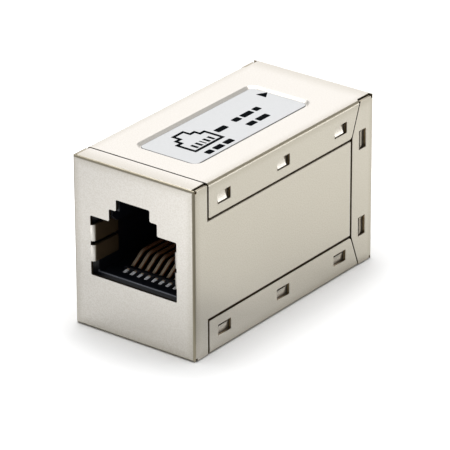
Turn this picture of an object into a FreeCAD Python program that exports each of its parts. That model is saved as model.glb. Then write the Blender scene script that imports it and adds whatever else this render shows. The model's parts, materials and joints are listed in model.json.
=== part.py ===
import FreeCAD, Part
import math
import os

# RJ45 inline coupler: two folded steel shells that snap into each other round two
# black plastic jacks set back to back on a circuit board.
# X is the width, Y the length with the front socket at -Y, and Z is up. The origin is
# at the middle of the underside. Every size is in millimetres.

os.makedirs("parts", exist_ok=True)
Vector = FreeCAD.Vector

# Whole coupler
length = 34.3
width = 17.1
height = 21.0

# Sheet metal of the two shells
sheet = 0.35
shell_gap = 0.1             # between the shells, and round what they hold
front_bend = 0.45           # outside radius from the front face to its sides
rear_bend = 0.65            # outside radius from the rear face to its sides
top_bend = 0.45             # outside radius of the folds along the top and the bottom

lip_length = 2.5            # front shell's lips on the top and the bottom
front_gap = 0.22            # between the lips and the rear shell's long panels
lip_gap = 0.2               # between the sides of a lip and the upright side folds
corner_relief = 0.2         # the cut beside a lip runs this far into the corner bend
edge_drop = 0.15            # side folds end this far from the top and the bottom
fold_end = 1.0              # where the side folds run on into the side panels
flange_height = 4.2         # rear shell's long side flanges, from the top or the bottom
rear_flange = 4.35          # rear shell's upright side flanges, from the rear face
mitre_top = 2.75            # from the rear face to the mitre seam at the top fold
mitre_gap = 0.2
seam = 0.35                 # open groove between a flange and the flush side panel
strip_seam = 0.3            # the same at the front ends of the long flanges
joggle_run = 0.2            # length of the slope down to the lowered border of a panel
flange_front_corner = 0.2
flange_rear_corner = 0.6

# Windows in the flanges, each with a lanced catch of the front shell behind it
window_long = 2.4
window_short = 1.4
window_from_edge = 2.4      # long flange: middle of a window from the top or the bottom
window_first = 5.5          # long flange: first middle from the front face
window_last = 6.7           # long flange: last middle from the rear face
windows_per_flange = 3
rear_window_from_face = 2.35
rear_window_spread = 11.05  # between the middles of the upper and the lower window
catch_width = 1.6
rear_catch_width = 2.0
catch_length = 1.05
catch_shift = 0.25          # towards the front, from the middle of its window
catch_rise = 0.42
catch_margin = 0.14         # between a catch's hinge and the edge of its window
lance_slit = 0.06

# Label and its stamped recess
recess_width = 9.1
recess_from_front = 5.8
recess_from_rear = 6.4
recess_corner = 1.2
recess_depth = 0.3
recess_slope = 0.38
label_margin = 0.1
label_thickness = 0.08

# Socket opening of the metal faces: the plug's slot and the two steps of its latch
socket_bottom = 6.8
socket_width = 12.2
socket_height = 7.35
latch_base_width = 6.8
latch_base_height = 1.5
latch_width = 4.75
latch_height = 1.4
opening_corner = 0.2

# Grounding tabs folded in from the sides of the opening
tab_height = 2.0
tab_spacing = 0.5
tab_middle = 10.7
tab_bend = 0.6
tab_inset = 0.5             # inner face of a tab from the side of the opening
tab_length = 4.2
tab_lean = 2.0              # degrees

# Plastic jack housing
cavity_width = 11.9
cavity_margin = 0.14        # plastic edge of the latch steps inside the metal edge
slot_top_margin = 0.25
housing_edge = 0.5          # chamfer of the housing's upright edges
lead_in = 0.8
latch_wall = 1.6            # front wall that the latch of a plug snaps behind
tab_pocket = 0.22           # room behind and round the grounding tabs
comb_start = 3.4
comb_length = 0.45
comb_thickness = 0.16
peg_diameter = 1.2
peg_length = 1.4
peg_from_edge = 1.5         # from the side edge of the board
peg_spread = 14.0

# Contact carrier, board and spring contacts
fit = 0.05                  # round each contact
carrier_width = 9.4
carrier_height = 4.2
carrier_bottom = 7.2
carrier_depth = 2.2
carrier_rim = 0.5           # rim that seats behind the housing's back wall
carrier_rim_depth = 0.9
foot_room = 0.7             # between the carrier and the board
board_thickness = 1.6
board_clearance = 0.75      # between the board and the front shell's side panels
board_height = 18.0
contacts = 8
contact_pitch = 1.016
contact_width = 0.45
contact_thickness = 0.3
contact_sunk = 0.05         # top of a free end, below the floor of the plug's slot
contact_tip = 2.65          # free end, from the metal face
contact_dip = 10.0          # degrees that the free end falls towards its tip
contact_bend_at = 4.37
contact_slope = 35.0        # degrees
contact_run_height = 8.15   # middle of the level run to the board
contact_foot = 1.1
contact_radii = (0.5, 1.6, 0.4)

middle_height = height / 2
contact_low = socket_bottom - contact_sunk - contact_thickness / 2
groove_low = contact_low - contact_thickness / 2 - fit
board_face = length / 2 - board_thickness / 2
housing_start = sheet + shell_gap
housing_end = board_face - shell_gap
cavity_depth = board_face - foot_room - carrier_depth
lowered = sheet + shell_gap             # depth of the lowered border under the flanges
side_end = length - sheet - 2 * lowered  # rear end of the front shell's side panels
board_half = width / 2 - lowered - sheet - board_clearance
peg_side = board_half - peg_from_edge
strip_end = lip_length + front_gap - strip_seam  # of the front shell's flush front strip
slot_top = socket_bottom + socket_height
latch_base_top = slot_top + latch_base_height
latch_top = latch_base_top + latch_height

tolerance = 1e-6            # points closer than this are one point

PLANES = {
    "plan": (Vector(1, 0, 0), Vector(0, 1, 0), Vector(0, 0, 1)),
    "side": (Vector(0, 1, 0), Vector(0, 0, 1), Vector(1, 0, 0)),
    "front": (Vector(1, 0, 0), Vector(0, 0, 1), Vector(0, 1, 0)),
}


def box(low, high):
    """A box from its lowest to its highest corner."""
    size = [b - a for a, b in zip(low, high)]
    return Part.makeBox(*size, Vector(*low))


def round_corner(before, at, after, radius):
    """Tangent start, middle, end and centre of an arc that rounds one corner."""
    arriving = (at - before).normalize()
    leaving = (after - at).normalize()
    turn = arriving.getAngle(leaving)
    reach = radius * math.tan(turn / 2)
    start = at - arriving * reach
    end = at + leaving * reach
    to_centre = (leaving - arriving).normalize()
    centre = at + to_centre * (radius / math.cos(turn / 2))
    return start, centre - to_centre * radius, end, centre


def rounded_edges(points, radii, closed):
    """Lines through the points, with an arc at each corner that has a radius."""
    edges = []
    count = len(points)
    corners = range(count) if closed else range(1, count - 1)
    joints = []
    for i in corners:
        at = points[i]
        if radii[i] > 0:
            start, halfway, end, _ = round_corner(
                points[i - 1], at, points[(i + 1) % count], radii[i])
            edges.append(Part.Arc(start, halfway, end).toShape())
            joints.append((start, end))
        else:
            joints.append((at, at))
    if closed:
        pairs = zip(joints, joints[1:] + joints[:1])
    else:
        joints = [(points[0], points[0])] + joints + [(points[-1], points[-1])]
        pairs = zip(joints, joints[1:])
    edges += [Part.makeLine(a[1], b[0]) for a, b in pairs if (b[0] - a[1]).Length > tolerance]
    return edges


def prism(plane, points, start, end, radii=None):
    """A flat outline, given as (u, v) points, raised from start to end."""
    u_axis, v_axis, normal = PLANES[plane]
    places = [u_axis * u + v_axis * v + normal * start for u, v in points]
    edges = rounded_edges(places, radii or [0] * len(points), closed=True)
    face = Part.Face(Part.Wire(Part.__sortEdges__(edges)))
    return face.extrude(normal * (end - start))


def folded(plane, route, radii, thickness, start, end):
    """A strip of sheet or wire, folded along a route through its middle."""
    u_axis, v_axis, normal = PLANES[plane]
    places = [u_axis * u + v_axis * v + normal * start for u, v in route]
    edges = []
    caps = []
    for shift in (thickness / 2, -thickness / 2):
        here = places[0] + normal.cross(places[1] - places[0]).normalize() * shift
        last = places[-1] + normal.cross(places[-1] - places[-2]).normalize() * shift
        caps.append((here, last))
        for i, radius in enumerate(radii, 1):
            before, at, after = places[i - 1:i + 2]
            *arc, centre = round_corner(before, at, after, radius)
            turn = math.copysign(1, (at - before).cross(after - at).dot(normal))
            share = 1 - turn * shift / radius
            near, halfway, far = [centre + (place - centre) * share for place in arc]
            edges.append(Part.makeLine(here, near))
            edges.append(Part.Arc(near, halfway, far).toShape())
            here = far
        edges.append(Part.makeLine(here, last))
    edges += [Part.makeLine(a, b) for a, b in zip(*caps)]
    face = Part.Face(Part.Wire(Part.__sortEdges__(edges)))
    return face.extrude(normal * (end - start))


def joined(first, *others):
    """One solid from pieces that meet, without the seams between them."""
    return first.fuse(list(others)).removeSplitter()


def both_sides(shape):
    """A shape and its mirror image across the middle of the width."""
    return [shape, shape.mirror(Vector(0, 0, 0), Vector(1, 0, 0))]


def top_and_bottom(shape):
    """A shape and its mirror image across the middle of the height."""
    return [shape, shape.mirror(Vector(0, 0, middle_height), Vector(0, 0, 1))]


def stepped_outline(bottom, steps):
    """Outline symmetrical about the middle, from (half width, top) steps."""
    right = []
    for half, top in steps:
        right += [(half, bottom), (half, top)]
        bottom = top
    return right + [(-u, v) for u, v in reversed(right)]


def rectangle(half_u, low_v, high_v):
    return [(half_u, low_v), (half_u, high_v), (-half_u, high_v), (-half_u, low_v)]


def rounded_plate(half_width, half_length, middle, radius, z):
    """Wire of a rectangle with rounded corners, lying flat at a height."""
    points = [Vector(u, v, z) for u, v in
              rectangle(half_width, middle - half_length, middle + half_length)]
    return Part.Wire(Part.__sortEdges__(rounded_edges(points, [radius] * 4, closed=True)))


# Both shells are made with their end face at y = 0 and their inside towards +y.

def end_cover(bend, lip, side, beside_lip):
    """End face with its top and bottom folded back by lip and its sides by side.

    As far back as beside_lip, the sides reach up beside the trimmed edges of the lips.
    """
    mid = sheet / 2
    half = width / 2 - mid
    inside = width / 2 - sheet
    lips = folded(
        "side", [(lip, mid), (mid, mid), (mid, height - mid), (lip, height - mid)],
        [top_bend - mid] * 2, sheet, -width / 2, width / 2)
    plan = rectangle(width / 2, 0, lip)
    corners = prism("plan", plan, 0, height, radii=[bend, 0, 0, bend])
    sides = folded(
        "plan", [(-half, side), (-half, mid), (half, mid), (half, side)],
        [bend - mid] * 2, sheet, sheet + shell_gap, height - sheet - shell_gap)
    trimmed = both_sides(box((inside - lip_gap, bend - corner_relief, 0),
                             (width / 2, lip, height)))
    tall = both_sides(box((inside, bend + shell_gap, edge_drop),
                          (width / 2, beside_lip, height - edge_drop)))
    return joined(lips.common(corners).cut(trimmed), sides, *tall)


def socket_opening():
    """Stepped opening for a plug and its latch, through an end face."""
    steps = [(socket_width / 2, slot_top), (latch_base_width / 2, latch_base_top),
             (latch_width / 2, latch_top)]
    outline = stepped_outline(socket_bottom, steps)
    return prism("front", outline, -sheet, 2 * sheet, radii=[opening_corner] * len(outline))


def tab_levels():
    """Lowest and highest z of the lower and the upper grounding tab."""
    return [(tab_middle - tab_spacing / 2 - tab_height, tab_middle - tab_spacing / 2),
            (tab_middle + tab_spacing / 2, tab_middle + tab_spacing / 2 + tab_height)]


def grounding_tabs():
    """Spring leaves folded in from both sides of the opening, leaning inward."""
    across = socket_width / 2 - tab_inset + sheet / 2
    lean = math.tan(math.radians(tab_lean)) * (tab_length - sheet / 2)
    route = [(socket_width / 2 + 2 * sheet, sheet / 2), (across, sheet / 2),
             (across - lean, tab_length)]
    tabs = []
    for low, high in tab_levels():
        tabs += both_sides(folded("plan", route, [tab_bend - sheet / 2], sheet, low, high))
    return tabs


def with_socket(shell):
    return joined(shell.cut(socket_opening()), *grounding_tabs())


def window_places():
    """Middle (y, z) of each window from the front face, and its catch's turn about x."""
    pitch = (length - window_first - window_last) / (windows_per_flange - 1)
    places = []
    for i in range(windows_per_flange):
        y = window_first + i * pitch
        places += [(y, height - window_from_edge, 0), (y, window_from_edge, 180)]
    for z in (middle_height - rear_window_spread / 2, middle_height + rear_window_spread / 2):
        places.append((length - rear_window_from_face, z, -90))
    return places


def raised_outline(grow, reach, x):
    """Wire of the side panel's flush part: the front strip and the middle field."""
    low = flange_height + seam - grow
    high = height - low
    step = strip_end + grow
    back = length - rear_flange - seam + grow
    bottom = sheet + shell_gap - reach
    top = height - bottom
    front = fold_end - reach
    points = [(front, bottom), (step, bottom), (step, low), (back, low), (back, high),
              (step, high), (step, top), (front, top), (front, bottom)]
    return Part.makePolygon([Vector(x, y, z) for y, z in points])


def catch(across):
    """Lanced ramp of a width that rises out of a lowered panel, its hinge at +z."""
    hinge = window_short / 2 - catch_margin
    end = hinge - catch_length
    skin = width / 2 - lowered
    profile = [(skin, hinge), (skin + catch_rise, end),
               (skin + catch_rise - sheet, end), (skin - sheet, hinge)]
    return prism("front", profile, -across / 2, across / 2)


def lance_hole(across):
    """Hole in the panel that a catch is bent out of."""
    hinge = window_short / 2 - catch_margin
    half = across / 2 + lance_slit
    skin = width / 2 - lowered
    return box((skin - 2 * sheet, -half, hinge - catch_length - lance_slit),
               (skin + sheet, half, hinge))


def at_window(shape, y, z, turn):
    placed = shape.copy()
    placed.rotate(Vector(0, 0, 0), Vector(1, 0, 0), turn)
    placed.translate(Vector(0, y, z))
    return placed


def side_panel():
    """Right side panel: flush in the middle, lowered where the flanges cover it."""
    skin = width / 2
    low_skin = skin - lowered
    slope = math.atan2(lowered, joggle_run)
    inset = sheet * math.tan(slope / 2)
    panel = box((low_skin - sheet, fold_end, sheet + shell_gap),
                (low_skin, side_end, height - sheet - shell_gap))
    raised = Part.makeLoft(
        [raised_outline(joggle_run, 0, low_skin), raised_outline(0, 0, skin)], True, True)
    hollow = Part.makeLoft(
        [raised_outline(joggle_run - inset, sheet, low_skin - sheet),
         raised_outline(-inset, sheet, skin - sheet)], True, True)
    panel = panel.fuse(raised).cut(hollow)
    catches = []
    for y, z, turn in window_places():
        across, shift = (rear_catch_width, 0) if turn == -90 else (catch_width, catch_shift)
        panel = panel.cut(at_window(lance_hole(across), y - shift, z, turn))
        catches.append(at_window(catch(across), y - shift, z, turn))
    return joined(panel, *catches)


def front_shell():
    cover = end_cover(front_bend, lip_length, fold_end, strip_end)
    return joined(with_socket(cover), *both_sides(side_panel()))


def long_flanges():
    """Top panel with its two side flanges, mitred at the rear corners."""
    mid = sheet / 2
    half = width / 2 - mid
    edge = height - flange_height
    front = length - lip_length - front_gap
    fold = folded(
        "front", [(-half, edge), (-half, height - mid), (half, height - mid), (half, edge)],
        [top_bend - mid] * 2, sheet, mitre_top, front)
    zone = prism(
        "side", [(front, edge), (rear_flange + mitre_gap, edge),
                 (mitre_top + mitre_gap, height), (front, height)],
        -width / 2, width / 2, radii=[flange_front_corner, flange_rear_corner, 0, 0])
    flat = box((top_bend - width / 2, mitre_top, height - sheet),
               (width / 2 - top_bend, front, height))
    return joined(fold.common(zone), flat)


def recess_span():
    """Middle of the recess from the rear face, and half its length."""
    return ((length - recess_from_front + recess_from_rear) / 2,
            (length - recess_from_front - recess_from_rear) / 2)


def label_recess():
    """Shallow tray pressed into the top: its bulge under the sheet and its hollow."""
    slope = math.atan2(recess_depth, recess_slope)
    swell = sheet * math.tan(slope / 2)
    middle, half_length = recess_span()
    shapes = []
    for grow, top in ((swell, height - sheet), (0, height)):
        rim = rounded_plate(recess_width / 2 + grow, half_length + grow,
                            middle, recess_corner + grow, top)
        floor = rounded_plate(recess_width / 2 + grow - recess_slope,
                              half_length + grow - recess_slope,
                              middle, recess_corner + grow - recess_slope,
                              top - recess_depth)
        shapes.append(Part.makeLoft([floor, rim], True, True))
    return shapes


def rear_shell():
    cover = end_cover(rear_bend, mitre_top, rear_flange, rear_flange)
    corner = prism(
        "side", [(rear_flange, height - flange_height), (mitre_top, height),
                 (rear_flange + sheet, height)], -width, width)
    shell = with_socket(cover.cut(top_and_bottom(corner)))
    shell = joined(shell, *top_and_bottom(long_flanges()))
    for y, z, turn in window_places():
        upright = turn == -90
        half_y = (window_short if upright else window_long) / 2
        half_z = (window_long if upright else window_short) / 2
        back = length - y
        shell = shell.cut(box((-width, back - half_y, z - half_z),
                              (width, back + half_y, z + half_z)))
    bulge, hollow = label_recess()
    return joined(shell, bulge).cut(hollow).removeSplitter()


def label():
    """Paper label on the floor of the recess."""
    margin = recess_slope + label_margin
    floor = height - recess_depth
    middle, half_length = recess_span()
    outline = rounded_plate(recess_width / 2 - margin, half_length - margin,
                            middle, recess_corner - margin, floor)
    return Part.Face(outline).extrude(Vector(0, 0, label_thickness))


def contact_places():
    """Middle of each contact across the socket, contact 1 first."""
    return [((contacts + 1) / 2 - n) * contact_pitch for n in range(1, contacts + 1)]


def contact_height(y):
    """Middle of a contact's free end at a depth from the metal face."""
    return contact_low + (y - contact_tip) * math.tan(math.radians(contact_dip))


def comb():
    """Bar over the contacts' free ends, with a tunnel for each of them."""
    roof = contact_height(comb_start + comb_length) + contact_thickness / 2 + fit
    half = contacts * contact_pitch / 2
    bar = box((-half, comb_start, socket_bottom - fit),
              (half, comb_start + comb_length, roof + comb_thickness))
    for x in contact_places():
        reach = contact_width / 2 + fit
        bar = bar.cut(box((x - reach, 0, groove_low), (x + reach, length, roof)))
    return bar


def contact_grooves():
    """Grooves in the floor of the plug's slot, one under each contact."""
    reach = contact_width / 2 + fit
    return [box((x - reach, contact_tip - 2 * fit, groove_low),
                (x + reach, cavity_depth, socket_bottom)) for x in contact_places()]


def carrier_pocket():
    """Room in the housing's back wall for the contact carrier and its rim."""
    half = carrier_width / 2 + fit
    low = carrier_bottom - fit
    high = carrier_bottom + carrier_height + fit
    rim_start = cavity_depth + carrier_depth - carrier_rim_depth - fit
    return [box((-half, cavity_depth - sheet, low), (half, housing_end, high)),
            box((-half - carrier_rim, rim_start, low - carrier_rim),
                (half + carrier_rim, housing_end + sheet, high + carrier_rim))]


def peg_places():
    return [(-peg_side, middle_height - peg_spread / 2),
            (peg_side, middle_height + peg_spread / 2)]


def housing():
    """Black jack body: plug slot, latch chamber, comb and room for the carrier."""
    half = width / 2 - lowered - sheet - shell_gap
    low = sheet + shell_gap
    high = height - sheet - recess_depth - shell_gap
    body = prism("plan", rectangle(half, housing_start, housing_end), low, high)
    upright = [edge for edge in body.Edges if edge.BoundBox.ZLength > housing_edge]
    body = body.makeChamfer(housing_edge, upright)

    slot_half = cavity_width / 2
    slot_high = slot_top - slot_top_margin
    base_half = latch_base_width / 2 - cavity_margin
    latch_high = latch_top - cavity_margin
    steps = [(slot_half, slot_high), (base_half, latch_base_top - cavity_margin),
             (latch_width / 2 - cavity_margin, latch_high)]
    slot = prism("front", stepped_outline(socket_bottom, steps), 0, cavity_depth)
    chamber = box((-base_half, housing_start + latch_wall, slot_high - lead_in),
                  (base_half, cavity_depth, latch_high))
    mouth = []
    for y, grow in ((housing_start, lead_in), (housing_start + lead_in, 0)):
        outline = rectangle(slot_half + grow, socket_bottom - grow, slot_high + grow)
        mouth.append(Part.makePolygon([Vector(u, y, v) for u, v in outline + outline[:1]]))
    hollows = [slot, chamber, Part.makeLoft(mouth, True, True)]
    for tab_low, tab_high in tab_levels():
        outer = socket_width / 2 - tab_inset + sheet + tab_pocket
        hollows += both_sides(box((slot_half - tab_pocket, 0, tab_low - tab_pocket),
                                  (outer, tab_length + tab_pocket, tab_high + tab_pocket)))
    body = body.cut(hollows + contact_grooves() + carrier_pocket())
    pegs = [Part.makeCylinder(peg_diameter / 2, peg_length + sheet,
                              Vector(x, housing_end - sheet, z), Vector(0, 1, 0))
            for x, z in peg_places()]
    return joined(body, comb(), *pegs)


def contact_carrier():
    """Comb-like block that holds the contacts behind the plug slot."""
    half = carrier_width / 2
    top = carrier_bottom + carrier_height
    end = cavity_depth + carrier_depth
    nose = box((-half, cavity_depth, carrier_bottom), (half, end, top))
    rim = box((-half - carrier_rim, end - carrier_rim_depth, carrier_bottom - carrier_rim),
              (half + carrier_rim, end, top + carrier_rim))
    block = joined(nose, rim)
    slot_low = contact_run_height - contact_thickness / 2 - fit
    for x in contact_places():
        reach = contact_width / 2 + fit
        block = block.cut(box((x - reach, 0, slot_low), (x + reach, length, height)))
    return block


def contact(number):
    """Spring contact: free end under the comb, slope, level run and soldered foot."""
    x = contact_places()[number - 1]
    bend = contact_height(contact_bend_at)
    rise = contact_run_height - bend
    top_of_slope = contact_bend_at + rise / math.tan(math.radians(contact_slope))
    at_board = board_face - contact_thickness / 2
    foot = contact_foot if number % 2 else -contact_foot
    route = [(contact_tip, contact_low), (contact_bend_at, bend),
             (top_of_slope, contact_run_height), (at_board, contact_run_height),
             (at_board, contact_run_height + foot)]
    return folded("side", route, contact_radii, contact_thickness,
                  x - contact_width / 2, x + contact_width / 2)


def circuit_board():
    """Upright board between the jacks, on the locating pegs of both housings."""
    board = box((-board_half, -board_thickness / 2, middle_height - board_height / 2),
                (board_half, board_thickness / 2, middle_height + board_height / 2))
    for x, z in peg_places():
        for side in (x, -x):
            board = board.cut(Part.makeCylinder(
                peg_diameter / 2 + fit, board_thickness,
                Vector(side, -board_thickness / 2, z), Vector(0, 1, 0)))
    return board


def save(name, shape):
    shape.exportStep("parts/" + name + ".step")


def save_at_front(name, shape):
    shape.translate(Vector(0, -length / 2, 0))
    save(name, shape)


def save_at_rear(name, shape):
    shape.rotate(Vector(0, 0, 0), Vector(0, 0, 1), 180)
    shape.translate(Vector(0, length / 2, 0))
    save(name, shape)


save_at_front("front_shell", front_shell())
save_at_rear("rear_shell", rear_shell())
save_at_rear("label", label())
save("circuit_board", circuit_board())
for end, save_at in (("front", save_at_front), ("rear", save_at_rear)):
    save_at(end + "_housing", housing())
    save_at(end + "_contact_carrier", contact_carrier())
    for number in range(1, contacts + 1):
        save_at(end + "_contact_" + str(number), contact(number))
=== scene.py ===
import json
import math

import bpy
from mathutils import Matrix, Vector


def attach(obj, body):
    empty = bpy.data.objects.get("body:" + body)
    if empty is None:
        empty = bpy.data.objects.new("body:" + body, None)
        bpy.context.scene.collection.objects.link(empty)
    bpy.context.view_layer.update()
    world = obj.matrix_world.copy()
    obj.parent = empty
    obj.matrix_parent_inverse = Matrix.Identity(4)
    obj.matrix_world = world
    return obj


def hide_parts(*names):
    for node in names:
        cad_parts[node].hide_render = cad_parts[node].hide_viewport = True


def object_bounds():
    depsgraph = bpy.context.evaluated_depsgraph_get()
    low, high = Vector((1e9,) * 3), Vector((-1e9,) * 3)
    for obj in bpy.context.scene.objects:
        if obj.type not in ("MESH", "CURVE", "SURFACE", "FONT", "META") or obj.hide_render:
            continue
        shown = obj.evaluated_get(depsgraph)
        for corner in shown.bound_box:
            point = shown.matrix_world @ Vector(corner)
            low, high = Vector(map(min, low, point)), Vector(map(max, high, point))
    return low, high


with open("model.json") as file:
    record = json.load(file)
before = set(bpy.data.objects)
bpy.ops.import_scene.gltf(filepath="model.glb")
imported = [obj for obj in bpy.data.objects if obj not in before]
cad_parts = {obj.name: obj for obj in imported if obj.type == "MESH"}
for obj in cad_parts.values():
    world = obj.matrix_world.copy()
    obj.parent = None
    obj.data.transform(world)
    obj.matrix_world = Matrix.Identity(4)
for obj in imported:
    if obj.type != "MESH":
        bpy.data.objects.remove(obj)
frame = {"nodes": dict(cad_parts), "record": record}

cadLow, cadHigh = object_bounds()
mm = 0.001  # Blender works in metres here


def say(text):
    print("coupler: " + text)


def toLinear(hexColour):  # sRGB hex to the linear colour that shaders take
    channels = [int(hexColour[i:i + 2], 16) / 255 for i in (1, 3, 5)]
    return [c / 12.92 if c <= 0.04045 else ((c + 0.055) / 1.055) ** 2.4 for c in channels] + [1]


def deselectAll():
    if bpy.context.object and bpy.context.object.mode != "OBJECT":
        bpy.ops.object.mode_set(mode="OBJECT")
    bpy.ops.object.select_all(action="DESELECT")


def makeActive(piece):
    deselectAll()
    piece.select_set(True)
    bpy.context.view_layer.objects.active = piece


def addModifier(piece, kind, **settings):
    makeActive(piece)
    modifier = piece.modifiers.new(kind.lower(), kind)
    for name, value in settings.items():
        setattr(modifier, name, value)
    bpy.ops.object.modifier_apply(modifier=modifier.name)


def bounds(piece):
    corners = [piece.matrix_world @ Vector(corner) for corner in piece.bound_box]
    return [Vector(pick(side) for side in zip(*corners)) for pick in (min, max)]


def addNode(tree, kind, settings=None, inputs=None, links=None):
    node = tree.nodes.new(kind)
    for name, value in (settings or {}).items():
        setattr(node, name, value)
    for name, value in (inputs or {}).items():
        node.inputs[name].default_value = value
    for name, source in (links or {}).items():
        tree.links.new(source, node.inputs[name])
    return node


def newMaterial(name):
    material = bpy.data.materials.new(name)
    material.use_nodes = True
    material.node_tree.nodes.clear()
    return material, material.node_tree


def closeMaterial(material, tree, shader):
    addNode(tree, "ShaderNodeOutputMaterial", links={"Surface": shader})
    return material


def coordinates(tree, kind="Object"):
    return addNode(tree, "ShaderNodeTexCoord").outputs[kind]


def axes(tree, vector):
    return addNode(tree, "ShaderNodeSeparateXYZ", links={"Vector": vector}).outputs


def noise(tree, place, sizeInMm, detail):
    return addNode(tree, "ShaderNodeTexNoise",
                   inputs={"Scale": 1 / (sizeInMm * mm), "Detail": detail},
                   links={"Vector": place}).outputs["Fac"]


def bumps(tree, height, depthInMm):
    return addNode(tree, "ShaderNodeBump", inputs={"Distance": depthInMm * mm},
                   links={"Height": height}).outputs["Normal"]


# Each colour is a hex code or comes from another node.
def blend(tree, amount, first, second):
    colours = {"A": first, "B": second}
    plain = {name: toLinear(colour) for name, colour in colours.items()
             if isinstance(colour, str)}
    linked = {name: colour for name, colour in colours.items() if name not in plain}
    return addNode(tree, "ShaderNodeMix", {"data_type": "RGBA"}, plain,
                   {"Factor": amount, **linked}).outputs["Result"]


# Each value is a number or comes from another node.
def combine(tree, operation, *values):
    step = addNode(tree, "ShaderNodeMath", {"operation": operation})
    for socket, value in zip(step.inputs, values):
        if isinstance(value, float):
            socket.default_value = value
        else:
            tree.links.new(value, socket)
    return step.outputs[0]


def multiply(tree, first, second):
    return combine(tree, "MULTIPLY", first, second)


def larger(tree, first, second):
    return combine(tree, "MAXIMUM", first, second)


# The first vector comes from another node, and the others are plain.
def vectorStep(tree, operation, first, second=(0, 0, 0), third=(0, 0, 0)):
    step = addNode(tree, "ShaderNodeVectorMath", {"operation": operation})
    tree.links.new(first, step.inputs[0])
    step.inputs[1].default_value = second
    step.inputs[2].default_value = third
    return step.outputs["Value" if operation in ("LENGTH", "DOT_PRODUCT") else "Vector"]


# Runs from the first share to the last while the amount goes from start to end.
def ramp(tree, amount, start, end, first, last, kind="LINEAR"):
    return addNode(tree, "ShaderNodeMapRange", {"interpolation_type": kind},
                   {"From Min": start, "From Max": end, "To Min": first, "To Max": last},
                   {"Value": amount}).outputs["Result"]


def between(tree, amount, low, high):
    return ramp(tree, amount, 0, 1, low, high)


# The same with soft ends over a distance, with start and end in mm.
def fade(tree, distance, start, end, first, last):
    return ramp(tree, distance, start * mm, end * mm, first, last, "SMOOTHSTEP")


def fadeIn(tree, distance, limits):
    return fade(tree, distance, *limits, 0, 1)


def fadeOut(tree, distance, limits):
    return fade(tree, distance, *limits, 1, 0)


# Comes in over the first two limits in mm, and goes out over the last two.
def band(tree, distance, limits):
    return multiply(tree, fadeIn(tree, distance, limits[:2]),
                    fadeOut(tree, distance, limits[2:]))


def addShaders(tree, first, second):
    both = addNode(tree, "ShaderNodeAddShader")
    tree.links.new(first, both.inputs[0])
    tree.links.new(second, both.inputs[1])
    return both.outputs["Shader"]


def mixShaders(tree, amount, first, second):
    mix = addNode(tree, "ShaderNodeMixShader", links={"Fac": amount})
    tree.links.new(first, mix.inputs[1])
    tree.links.new(second, mix.inputs[2])
    return mix.outputs["Shader"]


# Cold-rolled steel under a satin nickel plate. The plate gives a warm grey sheen that
# drifts a little from place to place, over a fine rolled grain that blurs reflections.
# Painted shade darkens it on the bends, beside them and on the lips near the ends. The
# sheared edges are brown, partly bare steel and partly painted shade on the walls of the
# seams and windows. Painted shade darkens the joints, and the windows keep only a little
# of it, so the catches in them stay light.
nickelPlate = {
    "colour": "#e8e4de",
    "cloudColour": "#e0dcd5",
    "cloud": (9.0, 2),       # size in mm, and how fine its detail goes
    "speckColour": "#dcd7cf",
    "speck": (0.15, 1),      # size in mm, detail
    "speckShare": (0.38, 0.64),  # where in the noise the specks start and are full
    "grain": (0.20, 3),      # size in mm, detail
    "roughness": (0.30, 0.40),
    "bumpDepth": 0.0060,     # mm
    # Limits below are in mm under the skin where they don't say from what.
    "nearestWithin": 0.01,   # depths that differ by less are the same
    # Painted shade on the bends, beside them and on the lips near the ends.
    "bendColour": "#a8a08d",
    "bendDepths": (0.015, 0.05, 0.13, 0.22),  # comes in, then goes out
    "bendReach": (0.65, 0.80),  # from the next side of the box: goes out
    "drawnReach": (0.3, 1.4),  # from the next side of the box: goes out
    "drawnShare": 0.25,
    "lipDepths": (0.03, 0.08),  # from the top or the bottom: goes out
    "lipReach": (0.4, 2.8),  # from the end: goes out
    "lipShare": 0.32,
    # Brown on the sheared edges: partly bare steel, partly painted shade on the walls of seams
    # and windows.
    "shearedColour": "#83745c",
    "shearedDepths": (0.04, 0.12),  # comes in
    "shearedFacing": (0.35, 0.65),  # share that the surface faces outwards: goes out
    # Painted shade in the joints, where the steel also gets less metal.
    "jointColour": "#5d4d39",
    "jointMetal": 0.5,
    "jointDepths": (0.30, 0.50),  # comes in
    "windowFromEnd": (4.4, 4.6),  # from the end: comes in
    "windowFromTop": (3.7, 3.9),  # from the top or the bottom: goes out
    "rearWindowFrom": (13.8, 14.0),  # behind the middle: comes in
    "rearWindowFromTop": (3.3, 3.5),  # from the top or the bottom: comes in
    "rearWindowDepths": (0.6, 0.8),  # goes out
    "windowShare": 0.10,     # share of the painted joint shade that the windows keep
}


# Depths in metres under the nearest and the next nearest side of the box that the whole
# coupler fills, how far the surface faces that nearest side, and the depths from the ends
# and from the top or the bottom. The first two are both small on a fold alone.
def depthsUnderSkin(tree, place):
    middle = (Vector(cadLow) + Vector(cadHigh)) / 2
    reach = (Vector(cadHigh) - Vector(cadLow)) / 2
    outward = vectorStep(tree, "ABSOLUTE", vectorStep(tree, "SUBTRACT", place, middle))
    depths = axes(tree, vectorStep(tree, "MULTIPLY_ADD", outward, (-1, -1, -1), reach))
    x, y, z = depths
    least, more = combine(tree, "MINIMUM", x, y), larger(tree, x, y)
    nearest = combine(tree, "MINIMUM", least, z)
    nextNearest = larger(tree, least, combine(tree, "MINIMUM", more, z))
    facing = axes(tree, vectorStep(tree, "ABSOLUTE", coordinates(tree, "Normal")))
    within = nickelPlate["nearestWithin"] * mm
    first, second, third = [
        multiply(tree, combine(tree, "COMPARE", depth, nearest, within), share)
        for depth, share in zip(depths, facing)]
    towards = larger(tree, larger(tree, first, second), third)
    return nearest, nextNearest, towards, y, z


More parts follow.
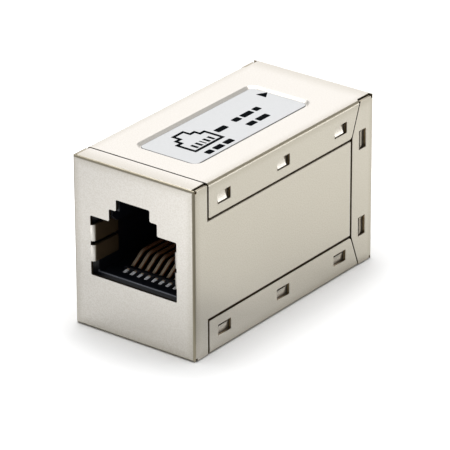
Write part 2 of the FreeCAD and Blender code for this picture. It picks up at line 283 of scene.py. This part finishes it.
def nickelPlatedSteel():
    s = nickelPlate
    material, tree = newMaterial("satinNickelPlate")
    place = coordinates(tree)
    grain = noise(tree, place, *s["grain"])
    colour = blend(tree, noise(tree, place, *s["cloud"]), s["colour"], s["cloudColour"])
    onSpeck = ramp(tree, noise(tree, place, *s["speck"]), *s["speckShare"], 0, 1)
    colour = blend(tree, onSpeck, colour, s["speckColour"])

    depth, nextDepth, towards, fromEnd, fromTop = depthsUnderSkin(tree, place)
    # Painted shade on the bends, beside them and on the lips near the ends.
    foldShade = multiply(tree, band(tree, depth, s["bendDepths"]),
                      fadeOut(tree, nextDepth, s["bendReach"]))
    nearBendShade = fade(tree, nextDepth, *s["drawnReach"], s["drawnShare"], 0)
    lipEndShade = multiply(tree, fadeOut(tree, fromTop, s["lipDepths"]),
                     fade(tree, fromEnd, *s["lipReach"], s["lipShare"], 0))
    foldShade = larger(tree, larger(tree, foldShade, nearBendShade), lipEndShade)
    colour = blend(tree, foldShade, colour, s["bendColour"])

    # Brown on the sheared edges: partly bare steel, partly painted shade on the walls of seams
    # and windows.
    edgeWallShade = multiply(tree, fadeIn(tree, depth, s["shearedDepths"]),
                       ramp(tree, towards, *s["shearedFacing"], 1, 0))
    colour = blend(tree, edgeWallShade, colour, s["shearedColour"])

    inWindow = multiply(tree, fadeIn(tree, fromEnd, s["windowFromEnd"]),
                        fadeOut(tree, fromTop, s["windowFromTop"]))
    inRearWindow = multiply(tree, fadeIn(tree, axes(tree, place)["Y"], s["rearWindowFrom"]),
                            fadeIn(tree, fromTop, s["rearWindowFromTop"]))
    inRearWindow = multiply(tree, inRearWindow, fadeOut(tree, depth, s["rearWindowDepths"]))
    # Painted shade in the joints, kept only a little in the windows.
    inJointShade = multiply(tree, fadeIn(tree, depth, s["jointDepths"]),
                       between(tree, larger(tree, inWindow, inRearWindow),
                               1, s["windowShare"]))
    colour = blend(tree, inJointShade, colour, s["jointColour"])
    shader = addNode(tree, "ShaderNodeBsdfPrincipled",
                     links={"Base Color": colour,
                            "Metallic": between(tree, inJointShade, 1, s["jointMetal"]),
                            "Roughness": between(tree, grain, *s["roughness"]),
                            "Normal": bumps(tree, grain, s["bumpDepth"])})
    return closeMaterial(material, tree, shader.outputs["BSDF"])


# Glass-filled PBT from a lightly spark-eroded mould: nearly black, with a cold cast and
# a soft gleam where an edge catches the light. A painted highlight runs along the sill of the
# slot.
jackPlastic = {
    "colour": "#10131a",
    "rubbedColour": "#848892",
    "grain": (0.08, 2),      # size in mm, detail
    "roughness": (0.30, 0.42),
    "bumpDepth": 0.0012,     # mm
    "ior": 1.57,
    "gloss": 0.35,
    "sillFromMiddle": (15.76, 15.84, 15.90, 16.0),  # mm: comes in, then goes out
    "sillHeight": (6.95, 7.05),  # mm above the floor: goes out
}


def blackPbt():
    s = jackPlastic
    material, tree = newMaterial("blackPbt")
    place = coordinates(tree)
    grain = noise(tree, place, *s["grain"])
    fromMiddle = axes(tree, vectorStep(tree, "ABSOLUTE", place))
    # Painted highlight along the sill of the slot.
    sillHighlight = multiply(tree, band(tree, fromMiddle["Y"], s["sillFromMiddle"]),
                      fadeOut(tree, fromMiddle["Z"], s["sillHeight"]))
    shader = addNode(tree, "ShaderNodeBsdfPrincipled",
                     inputs={"IOR": s["ior"], "Specular IOR Level": s["gloss"]},
                     links={"Base Color": blend(tree, sillHighlight, s["colour"], s["rubbedColour"]),
                            "Roughness": between(tree, grain, *s["roughness"]),
                            "Normal": bumps(tree, grain, s["bumpDepth"])})
    return closeMaterial(material, tree, shader.outputs["BSDF"])


# Phosphor bronze with a thin gold flash, drawn along the wire, and tinned at the free
# ends: a dull pale gold that turns to a matt grey-white beyond the comb. The sides are
# painted brown as shade, and the level run deeper in is brown as well.
springWire = {
    "colour": "#ffedd4",
    "lineColour": "#ecd2ad",
    "bareColour": "#c98d62",
    "bareFrom": (0.35, 0.80),  # how far sideways a surface faces
    "rubbedFrom": (10.3, 11.9),  # mm from the middle of the coupler
    "line": (0.05, 2),       # size in mm, detail
    "stretch": 0.08,         # the lines' share of that fineness along the wire
    "roughness": (0.36, 0.46),
    "metal": 0.55,
    "tinColour": "#f6f7fa",
    "tinRoughness": 0.50,
    "tinMetal": 0.0,
    "tinGloss": 1.0,
    "tinFrom": (13.75, 13.85),  # mm from the middle of the coupler
}


def goldFlashedBronze():
    s = springWire
    material, tree = newMaterial("goldFlashedBronze")
    place = coordinates(tree)
    drawn = addNode(tree, "ShaderNodeMapping", inputs={"Scale": (1, s["stretch"], s["stretch"])},
                    links={"Vector": place}).outputs["Vector"]
    lines = noise(tree, drawn, *s["line"])
    sideways = axes(tree, vectorStep(tree, "ABSOLUTE", coordinates(tree, "Normal")))["X"]
    fromMiddle = combine(tree, "ABSOLUTE", axes(tree, place)["Y"])
    # Painted shade on the sides, and brown on the level run deeper in.
    sideShadeAndRun = larger(tree, ramp(tree, sideways, *s["bareFrom"], 0, 1),
                  fadeOut(tree, fromMiddle, s["rubbedFrom"]))
    colour = blend(tree, lines, s["colour"], s["lineColour"])
    gold = addNode(tree, "ShaderNodeBsdfPrincipled", inputs={"Metallic": s["metal"]},
                   links={"Base Color": blend(tree, sideShadeAndRun, colour, s["bareColour"]),
                          "Roughness": between(tree, lines, *s["roughness"])})
    tin = addNode(tree, "ShaderNodeBsdfPrincipled",
                  inputs={"Base Color": toLinear(s["tinColour"]), "Metallic": s["tinMetal"],
                          "Roughness": s["tinRoughness"],
                          "Specular IOR Level": s["tinGloss"]})
    start, end = s["tinFrom"]
    tinned = ramp(tree, fromMiddle, start * mm, end * mm, 0, 1)
    return closeMaterial(material, tree, mixShaders(tree, tinned, gold.outputs["BSDF"],
                                                    tin.outputs["BSDF"]))


# Coated label paper: a cool white with a faint fibre mottle and hardly any gloss, and a
# painted shadow line along the rim where it meets the recess.
labelPaper = {
    "colour": "#cbcccd",
    "mottleColour": "#c5c6c7",
    "fibre": (0.35, 4),      # size in mm, detail
    "roughness": 0.5,
    "bumpDepth": 0.0008,     # mm
    "rimColour": "#5f6164",
    "rimWidth": 0.11,        # mm
    "corner": 0.72,          # mm, radius
}


def coatedPaper():
    s = labelPaper
    material, tree = newMaterial("coatedLabelPaper")
    place = coordinates(tree)
    fibre = noise(tree, place, *s["fibre"])
    low, high = bounds(frame["nodes"]["label"])
    middle, corner = (low + high) / 2, s["corner"] * mm
    reach = (high - low) / 2 - Vector((corner, corner, 0))
    sideways = vectorStep(tree, "ABSOLUTE", vectorStep(tree, "SUBTRACT", place, middle))
    beyond = vectorStep(tree, "SUBTRACT", sideways, (reach.x, reach.y, 1))
    fromCorner = vectorStep(tree, "LENGTH", vectorStep(tree, "MAXIMUM", beyond))
    # Painted shadow line along the rim.
    onRimShadow = fadeIn(tree, fromCorner, (s["corner"] - s["rimWidth"], s["corner"]))
    paper = blend(tree, fibre, s["colour"], s["mottleColour"])
    shader = addNode(tree, "ShaderNodeBsdfPrincipled", inputs={"Roughness": s["roughness"]},
                     links={"Base Color": blend(tree, onRimShadow, paper, s["rimColour"]),
                            "Normal": bumps(tree, fibre, s["bumpDepth"])})
    return closeMaterial(material, tree, shader.outputs["BSDF"])


# Screen ink on the label: a soft black that lies a little unevenly.
screenInk = {
    "colour": "#0b0d0f",
    "thinColour": "#131618",
    "patch": (0.5, 3),       # size in mm, detail
    "roughness": 0.60,
    "gloss": 0.0,
}


def labelInk():
    s = screenInk
    material, tree = newMaterial("screenInk")
    patch = noise(tree, coordinates(tree), *s["patch"])
    shader = addNode(tree, "ShaderNodeBsdfPrincipled",
                     inputs={"Roughness": s["roughness"], "Specular IOR Level": s["gloss"]},
                     links={"Base Color": blend(tree, patch, s["colour"], s["thinColour"])})
    return closeMaterial(material, tree, shader.outputs["BSDF"])


# Glass-fibre laminate under green solder mask, with the weave just showing.
boardMask = {
    "colour": "#1d5a34",
    "weaveColour": "#174a2b",
    "weaveSize": 0.5,        # mm
    "roughness": 0.35,
}


def solderMask():
    s = boardMask
    material, tree = newMaterial("solderMaskLaminate")
    weave = addNode(tree, "ShaderNodeTexChecker",
                    inputs={"Scale": 1 / (s["weaveSize"] * mm),
                            "Color1": toLinear(s["colour"]),
                            "Color2": toLinear(s["weaveColour"])},
                    links={"Vector": coordinates(tree)})
    shader = addNode(tree, "ShaderNodeBsdfPrincipled", inputs={"Roughness": s["roughness"]},
                     links={"Base Color": weave.outputs["Color"]})
    return closeMaterial(material, tree, shader.outputs["BSDF"])


plastic = blackPbt()
materials = {
    "nickel_plated_steel": nickelPlatedSteel(),
    "black_plastic": plastic,
    "carrier_plastic": plastic,
    "gold_contact": goldFlashedBronze(),
    "label": coatedPaper(),
    "board": solderMask(),
}
slotOfNode = {part["node"]: part["material_slot"] for part in frame["record"]["subparts"]}
say("materials made")

# Width in mm that the edges of each kind of part are broken by.
edgeBreak = {
    "nickel_plated_steel": 0.07,
    "black_plastic": 0.07,
    "carrier_plastic": 0.05,
    "gold_contact": 0.10,
    "label": 0.015,
}
softening = {
    "segments": 2,
    "breakOver": 32,         # degrees between faces whose edge is broken
    "smoothUnder": 35,       # degrees between faces that are shaded as one
    "flatUnder": 0.3,        # degrees between faces that become one
    "mergeUnder": 0.0005,    # mm between points that become one
}


def dress(piece, material):
    piece.data.materials.clear()
    piece.data.materials.append(material)


def softenedCopy(nodeName, edgeWidth):
    s = softening
    first, *others = nodeName.split("_")
    piece = frame["nodes"][nodeName].copy()
    piece.data = piece.data.copy()
    piece.name = first + "".join(word.title() for word in others) + "Finished"
    piece.parent = None
    bpy.context.collection.objects.link(piece)
    makeActive(piece)
    bpy.ops.object.mode_set(mode="EDIT")
    bpy.ops.mesh.select_all(action="SELECT")
    bpy.ops.mesh.remove_doubles(threshold=s["mergeUnder"] * mm)
    bpy.ops.mesh.dissolve_limited(angle_limit=math.radians(s["flatUnder"]))
    bpy.ops.object.mode_set(mode="OBJECT")
    addModifier(piece, "BEVEL", width=edgeWidth * mm, segments=s["segments"],
                limit_method="ANGLE", angle_limit=math.radians(s["breakOver"]))
    makeActive(piece)
    bpy.ops.object.shade_smooth_by_angle(angle=math.radians(s["smoothUnder"]))
    addModifier(piece, "WEIGHTED_NORMAL", keep_sharp=True)
    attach(piece, "root")
    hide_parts(nodeName)
    dress(piece, materials[slotOfNode[nodeName]])


for nodeName, node in list(frame["nodes"].items()):
    slotName = slotOfNode[nodeName]
    if slotName in edgeBreak:
        softenedCopy(nodeName, edgeBreak[slotName])
    else:
        dress(node, materials[slotName])
say("edges softened")

# The label carries generic signs alone: a socket seen from the front, dashes, an arrow.
labelPrint = {
    "thickness": 0.016,      # mm of ink above the paper
    "sunk": 0.004,           # mm that it goes into the paper
    "middle": (-0.40, -5.5),  # mm, of the socket sign
    "cell": 0.20,            # mm, a third of a stroke of the sign
    "stroke": 3,             # cells
    "steps": [(27, 15), (19, 19), (11, 24)],  # width and top of each step, cells
    "pins": (5, 6, 9, 10, 13, 16, 17, 20, 21),  # columns of cells
    "pinRows": range(3, 8),  # cells
    "dashHeight": 0.85,      # mm
    "dashes": [              # x and y of the middle, and length, mm
        (0.30, -1.30, 1.9),
        (3.10, -7.15, 1.1), (3.10, -5.45, 1.5), (3.10, -3.60, 1.4),
        (0.10, 1.85, 1.2), (0.10, 3.80, 1.9), (0.10, 5.65, 1.0),
        (2.10, 2.05, 1.4), (2.10, 4.15, 2.0),
    ],
    "arrowAt": (-1.75, 9.4),  # mm
    "arrowRadius": 0.85,     # mm
    "rounding": 0.12,        # mm, of the dashes and the arrow
    "roundingSegments": 4,
    "flatUnder": 1,          # degrees between faces that become one
}


def inSocketSign(column, row):
    width, height = labelPrint["steps"][0][0], labelPrint["steps"][-1][1]
    if not (0 <= column < width and 0 <= row < height):
        return False
    for stepWidth, stepTop in labelPrint["steps"]:
        if row < stepTop:
            return abs(column - width // 2) <= stepWidth // 2


def inStroke(column, row):
    reach = range(1 - labelPrint["stroke"], labelPrint["stroke"])
    edge = not all(inSocketSign(column + i, row + j) for i in reach for j in reach)
    pin = column in labelPrint["pins"] and row in labelPrint["pinRows"]
    return inSocketSign(column, row) and (edge or pin)


# Turns the flat shape that is open in edit mode into a thin closed slab of ink.
def thickenInk(place):
    s = labelPrint
    bpy.ops.mesh.select_all(action="SELECT")
    bpy.ops.mesh.dissolve_limited(angle_limit=math.radians(s["flatUnder"]))
    bpy.ops.mesh.extrude_region_move(
        TRANSFORM_OT_translate={"value": (0, 0, (s["thickness"] + s["sunk"]) * mm)})
    bpy.ops.mesh.select_all(action="SELECT")
    bpy.ops.mesh.normals_make_consistent(inside=False)
    bpy.ops.object.mode_set(mode="OBJECT")
    piece = bpy.context.object
    piece.location = (place[0] * mm, place[1] * mm, paperTop - s["sunk"] * mm)
    bpy.ops.object.transform_apply(location=True, rotation=True, scale=True)
    return piece


def roundCorners():
    bpy.ops.mesh.bevel(offset=labelPrint["rounding"] * mm, affect="VERTICES",
                       segments=labelPrint["roundingSegments"])


def socketSign():
    s = labelPrint
    columns, rows = s["steps"][0][0], s["steps"][-1][1]
    deselectAll()
    bpy.ops.mesh.primitive_grid_add(x_subdivisions=rows, y_subdivisions=columns, size=1)
    grid = bpy.context.object
    bpy.ops.object.mode_set(mode="EDIT")
    bpy.ops.mesh.select_mode(type="FACE")
    bpy.ops.transform.resize(value=(rows * s["cell"] * mm, columns * s["cell"] * mm, 1))
    bpy.ops.mesh.select_all(action="DESELECT")
    bpy.ops.object.mode_set(mode="OBJECT")
    for face in grid.data.polygons:
        column = round(face.center.y / (s["cell"] * mm) + (columns - 1) / 2)
        row = round((rows - 1) / 2 - face.center.x / (s["cell"] * mm))
        face.select = not inStroke(column, row)
    bpy.ops.object.mode_set(mode="EDIT")
    bpy.ops.mesh.delete(type="FACE")
    return thickenInk(s["middle"])


def dash(x, y, length):
    deselectAll()
    bpy.ops.mesh.primitive_plane_add(size=1)
    bpy.ops.object.mode_set(mode="EDIT")
    bpy.ops.transform.resize(value=(labelPrint["dashHeight"] * mm, length * mm, 1))
    roundCorners()
    return thickenInk((x, y))


def arrow():
    deselectAll()
    bpy.ops.mesh.primitive_circle_add(vertices=3, radius=labelPrint["arrowRadius"] * mm,
                                      fill_type="NGON")
    bpy.ops.object.mode_set(mode="EDIT")
    roundCorners()
    return thickenInk(labelPrint["arrowAt"])


paperTop = bounds(frame["nodes"]["label"])[1].z
signs = [socketSign(), *[dash(*place) for place in labelPrint["dashes"]], arrow()]
deselectAll()
for sign in signs:
    sign.select_set(True)
bpy.context.view_layer.objects.active = signs[0]
bpy.ops.object.join()
printing = bpy.context.object
printing.name = "labelPrinting"
dress(printing, labelInk())
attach(printing, "root")
say("label printed")

# A white sweep with a big soft light overhead, a bright card behind on the left and a small
# one behind on the right, in a room that is dim above and darker still behind the camera.
studio = {
    "floorSize": 1.2,        # metres
    "floorColour": "#f6f6f6",
    "floorGlow": (0.0, 0.20),  # beside the coupler and away from it, for the camera alone
    "glowReach": 9.0,        # mm from the coupler where the glow is full
    "nearShade": (0.84, 34.0),  # share of light left at the coupler, mm that it reaches
    "leftShade": (-4, 40, 0.38),  # mm to the left from and to, share of light left
    "cornerShade": (0, 10, 0.45),  # mm past the corner by the camera, share of light left
    "diagonal": (0.707, 0.707, 0),  # from front left to back right
    "cards": ("#f9fafa", "#dbd9cf"),  # painted reflection tone that the steel sees at the front and at the back
    "cardEdge": (-30, 30),   # mm along the diagonal
    "frontGlow": (-29, -52, 0.98),  # mm along the diagonal from and to, strength
    "unlitColour": "#000000",
    "white": (1, 1, 1, 1),
    "backdropLight": 1.0,
    "skyLight": 0.52,
    "horizonLight": 1.0,
    "horizonBand": (0.08, 0.32),  # sine of the elevation where that light starts and ends
    "towardsCamera": (0.605, -0.796, 0),
    "cameraSide": 0.55,      # share of the room's light that is left on that side
    "lamps": [  # name, place and target in mm, size in mm, watts, colour
        ("overheadSoftbox", (-20, 10, 320), (0, 0, 10), 300, 0.91, "#ffffff"),
        ("backCard", (-164, 216, 148), (0, 0, 21), 260, 0.150, "#fffeff"),
        ("rightCard", (260, 270, 40), (0, 0, 10), 130, 0.10, "#ffffff"),
    ],
}


def seenDirectly(tree):
    path = addNode(tree, "ShaderNodeLightPath").outputs
    return larger(tree, path["Is Camera Ray"], path["Is Transmission Ray"])


def floorMaterial():
    s = studio
    material, tree = newMaterial("whitePaperSweep")
    place = coordinates(tree)
    beyond = vectorStep(tree, "SUBTRACT", vectorStep(tree, "ABSOLUTE", place),
                        (cadHigh[0], cadHigh[1], 0))
    away = vectorStep(tree, "LENGTH", vectorStep(tree, "MAXIMUM", beyond))
    leftward = vectorStep(tree, "DOT_PRODUCT", place, (-1, 0, 0))
    diagonal = vectorStep(tree, "DOT_PRODUCT", place, s["diagonal"])
    fromCorner = axes(tree, vectorStep(tree, "MULTIPLY_ADD", place, (1, -1, 1),
                                       (-cadHigh[0], 0, 0)))
    pastCorner = combine(tree, "MINIMUM", fromCorner["X"], fromCorner["Y"])

    # What the coupler reflects: a painted floor tone with painted shade near the coupler, to the
    # left and past the corner, and a painted glow far in front on the left.
    near, reach = s["nearShade"]
    share = fade(tree, away, 0, reach, near, 1)
    for distance, (start, end, left) in ((leftward, s["leftShade"]),
                                         (pastCorner, s["cornerShade"])):
        share = multiply(tree, share, fade(tree, distance, start, end, 1, left))
    card = blend(tree, fadeIn(tree, diagonal, s["cardEdge"]), *s["cards"])
    shaded = addNode(tree, "ShaderNodeBsdfDiffuse",
                     links={"Color": blend(tree, share, s["unlitColour"], card)})
    start, end, full = s["frontGlow"]
    frontGlow = addNode(tree, "ShaderNodeEmission", links={
        "Strength": multiply(tree, share, fade(tree, diagonal, end, start, full, 0))})
    reflected = addShaders(tree, shaded.outputs["BSDF"], frontGlow.outputs["Emission"])

    # What is seen: white paper that keeps the coupler's shadow and glows away from it.
    paper = addNode(tree, "ShaderNodeBsdfDiffuse", inputs={"Color": toLinear(s["floorColour"])})
    glow = addNode(tree, "ShaderNodeEmission", links={
        "Strength": fade(tree, away, 0, s["glowReach"], *s["floorGlow"])})
    seen = addShaders(tree, paper.outputs["BSDF"], glow.outputs["Emission"])
    return closeMaterial(material, tree, mixShaders(tree, seenDirectly(tree), reflected, seen))


def makeRoom():
    s = studio
    world = bpy.data.worlds.new("dimRoom")
    bpy.context.scene.world = world
    world.use_nodes = True
    tree = world.node_tree
    tree.nodes.clear()
    towards = coordinates(tree, "Generated")
    fromHorizon = ramp(tree, axes(tree, towards)["Z"], *s["horizonBand"],
                       s["horizonLight"], s["skyLight"])
    fromCamera = between(tree, vectorStep(tree, "DOT_PRODUCT", towards, s["towardsCamera"]),
                         1, s["cameraSide"])
    room = addNode(tree, "ShaderNodeBackground", inputs={"Color": s["white"]},
                   links={"Strength": multiply(tree, fromHorizon, fromCamera)})
    backdrop = addNode(tree, "ShaderNodeBackground",
                       inputs={"Color": s["white"], "Strength": s["backdropLight"]})
    addNode(tree, "ShaderNodeOutputWorld", links={"Surface": mixShaders(
        tree, seenDirectly(tree), room.outputs[0], backdrop.outputs[0])})


def makeStudio():
    deselectAll()
    bpy.ops.mesh.primitive_plane_add(size=studio["floorSize"], location=(0, 0, 0))
    floor = bpy.context.object
    floor.name = "studioFloor"
    floor.data.materials.append(floorMaterial())
    for name, place, target, size, watts, colour in studio["lamps"]:
        bpy.ops.object.light_add(type="AREA", location=Vector(place) * mm)
        lamp = bpy.context.object
        lamp.name = name
        lamp.data.shape = "SQUARE"
        lamp.data.size = size * mm
        lamp.data.energy = watts
        lamp.data.color = toLinear(colour)[:3]
        aim = Vector(target) * mm - lamp.location
        lamp.rotation_euler = aim.to_track_quat("-Z", "Y").to_euler()
    makeRoom()


makeStudio()
say("studio lit")

viewpoint = {
    "azimuth": 37.26,        # degrees round from the front
    "elevation": 25.12,
    "roll": -0.25,
    "distance": 434.4,       # mm
    "across": -0.197,        # mm, the camera's offset to its right
    "up": 7.420,             # mm
    "lens": 300.2,
    "sensor": 36,
    "clip": (0.01, 5),       # metres
}


def makeCamera():
    s = viewpoint
    turn, lift, roll = (math.radians(s[name]) for name in ("azimuth", "elevation", "roll"))
    back = Vector((math.sin(turn) * math.cos(lift), -math.cos(turn) * math.cos(lift),
                   math.sin(lift)))
    right = Vector((math.cos(turn), math.sin(turn), 0))
    up = back.cross(right)
    rolledRight = right * math.cos(roll) + up * math.sin(roll)
    rolledUp = up * math.cos(roll) - right * math.sin(roll)
    place = back * s["distance"] + rolledRight * s["across"] + rolledUp * s["up"]
    deselectAll()
    bpy.ops.object.camera_add(location=place * mm)
    camera = bpy.context.object
    camera.rotation_mode = "QUATERNION"
    camera.rotation_quaternion = (
        Matrix((rolledRight, rolledUp, back)).transposed().to_quaternion())
    camera.data.lens = s["lens"]
    camera.data.sensor_width = s["sensor"]
    camera.data.clip_start, camera.data.clip_end = s["clip"]
    bpy.context.scene.camera = camera


makeCamera()
bpy.context.scene.view_settings.view_transform = "Standard"
say("camera placed")
